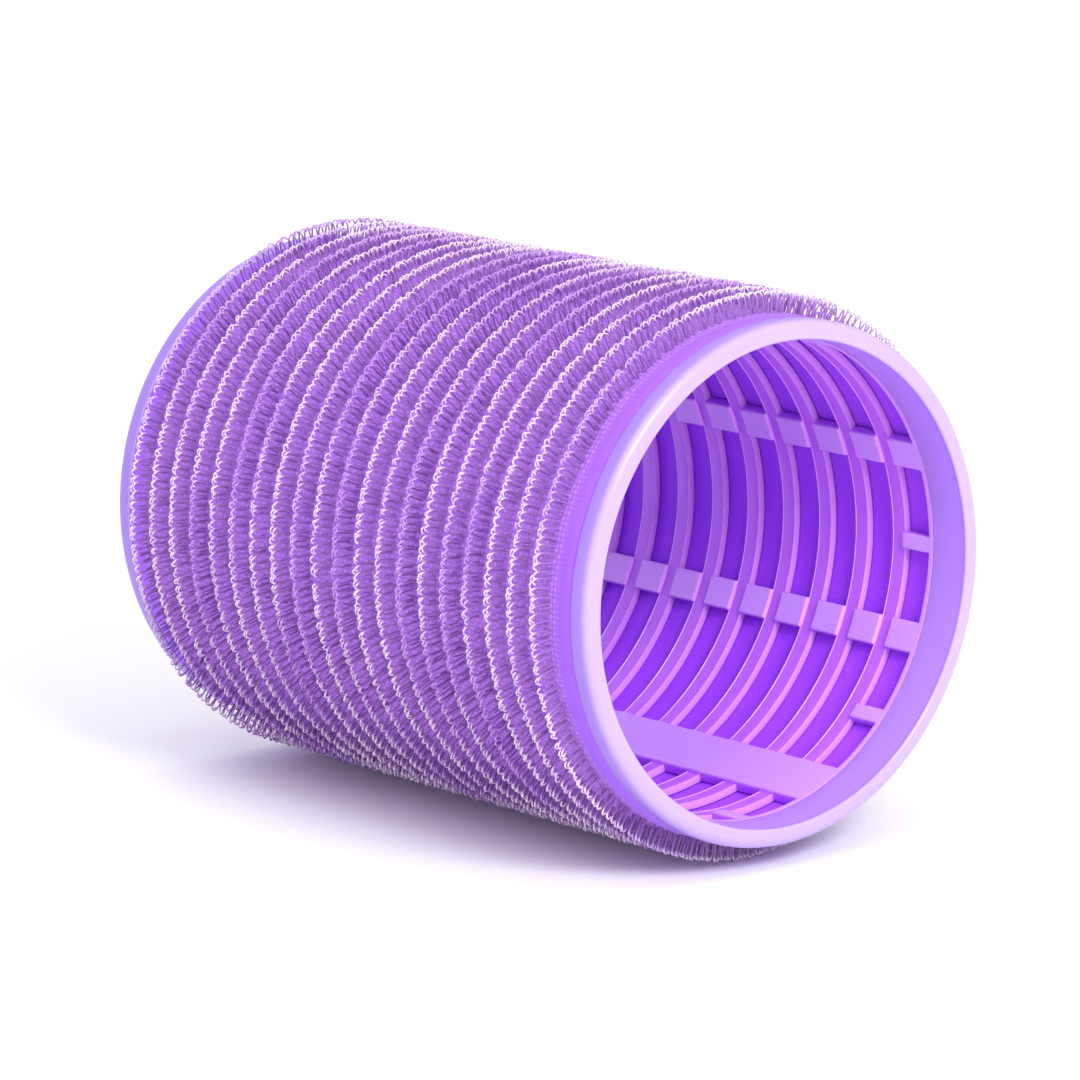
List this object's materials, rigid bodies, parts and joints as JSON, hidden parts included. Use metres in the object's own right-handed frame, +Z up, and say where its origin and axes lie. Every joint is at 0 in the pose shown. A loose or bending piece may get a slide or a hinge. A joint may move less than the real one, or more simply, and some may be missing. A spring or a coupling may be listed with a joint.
{
  "type": "self-grip hair roller",
  "caption": "Open cylindrical self-grip hair roller: a slotted plastic core, an end ring at each end, and a hook-tape sleeve with hooks standing in rows round it.",
  "frame": {"origin": "middle of the bore, halfway between the two end faces, which is the centre of the bounding box", "axes": "+Y along the bore towards the rear end, the front end faces -Y; +Z up with the roller lying on its hooks; the welded seam and the core's solid strip lie low on the +X side"},
  "size_m": [0.048, 0.063, 0.048],
  "materials": {
    "core_plastic": "moulded translucent lilac plastic with pale slot edges",
    "rim_plastic": "moulded milky lilac plastic, softly glossy",
    "tape_ground": "woven blue-violet hook-tape ground, matt, smooth at both selvedges",
    "seam_melt": "fused tape fibres along the welded seam",
    "hook_filament": "clear lilac nylon monofilament hooks"
  },
  "bodies": {
    "root": {"core_cage": "core_plastic", "front_end_ring": "rim_plastic", "rear_end_ring": "rim_plastic", "hook_tape_base": "tape_ground", "seam_weld": "seam_melt", "hook_row_01": "hook_filament", "hook_row_02": "hook_filament", "hook_row_03": "hook_filament", "hook_row_04": "hook_filament", "hook_row_05": "hook_filament", "hook_row_06": "hook_filament", "hook_row_07": "hook_filament", "hook_row_08": "hook_filament", "hook_row_09": "hook_filament", "hook_row_10": "hook_filament", "hook_row_11": "hook_filament", "hook_row_12": "hook_filament", "hook_row_13": "hook_filament", "hook_row_14": "hook_filament", "hook_row_15": "hook_filament", "hook_row_16": "hook_filament", "hook_row_17": "hook_filament", "hook_row_18": "hook_filament", "hook_row_19": "hook_filament", "hook_row_20": "hook_filament"}
  },
  "joints": []
}
